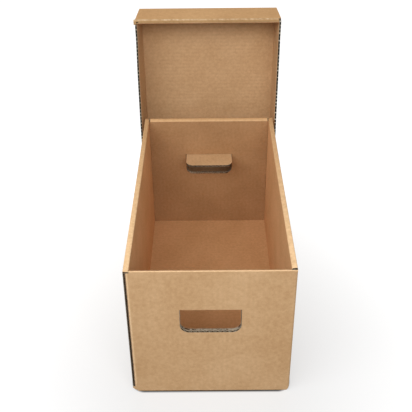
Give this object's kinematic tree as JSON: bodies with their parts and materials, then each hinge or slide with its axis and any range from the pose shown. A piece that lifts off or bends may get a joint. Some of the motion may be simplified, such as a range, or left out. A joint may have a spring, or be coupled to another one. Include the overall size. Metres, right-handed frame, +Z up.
{
  "type": "record storage box",
  "caption": "Corrugated board box for small records: an open tray with doubled, rolled-over walls and end hand holes, and a separate shallow lid stood upright behind it.",
  "frame": {"origin": "middle of the tray's underside, on the surface that the box stands on", "axes": "+Z up, +Y along the tray from the front to the rear and the standing lid, +X to the right as seen from the front"},
  "size_m": [0.2301, 0.4325, 0.394],
  "materials": {
    "tray_board": "uncoated kraft paper over fluting, matt, finely mottled",
    "lid_board": "uncoated kraft paper over fluting, matt, raw fluted edges on the side flaps",
    "rolled_rim": "kraft paper pressed round the fold, slightly worn and lighter",
    "inner_board": "uncoated kraft paper, inner side, matt",
    "base_board": "uncoated kraft paper, flat, lightly soiled underneath",
    "crushed_board": "kraft board crushed flat, hidden between two layers"
  },
  "bodies": {
    "tray": {"base_pad": "base_board", "front_bottom_flap": "base_board", "front_inner_wall": "inner_board", "front_outer_wall": "tray_board", "front_rim": "rolled_rim", "glue_flap": "crushed_board", "left_bottom_flap": "base_board", "left_inner_wall": "inner_board", "left_outer_wall": "tray_board", "left_rim": "rolled_rim", "rear_bottom_flap": "base_board", "rear_inner_wall": "inner_board", "rear_outer_wall": "tray_board", "rear_rim": "rolled_rim", "right_bottom_flap": "base_board", "right_inner_wall": "inner_board", "right_outer_wall": "tray_board", "right_rim": "rolled_rim"},
    "lid": {"lid_foot_end_lining": "inner_board", "lid_foot_end_rim": "rolled_rim", "lid_foot_end_wall": "lid_board", "lid_foot_left_tab": "crushed_board", "lid_foot_right_tab": "crushed_board", "lid_left_flap": "lid_board", "lid_panel": "lid_board", "lid_right_flap": "lid_board", "lid_top_end_lining": "inner_board", "lid_top_end_rim": "rolled_rim", "lid_top_end_wall": "lid_board", "lid_top_left_tab": "crushed_board", "lid_top_right_tab": "crushed_board"},
    "front_flap": {"front_hand_flap": "inner_board"},
    "rear_flap": {"rear_hand_flap": "inner_board"}
  },
  "joints": [
    {"name": "lid_lift", "type": "slide", "parent": "tray", "child": "lid", "axis": [0, 0, 1], "range_m": [0, 0.25]},
    {"name": "front_flap_fold", "type": "hinge", "parent": "tray", "child": "front_flap", "pos_m": [0, -0.186, 0.152], "axis": [1, 0, 0], "range_deg": [-90, 0]},
    {"name": "rear_flap_fold", "type": "hinge", "parent": "tray", "child": "rear_flap", "pos_m": [0, 0.186, 0.152], "axis": [-1, 0, 0], "range_deg": [-90, 0]}
  ]
}
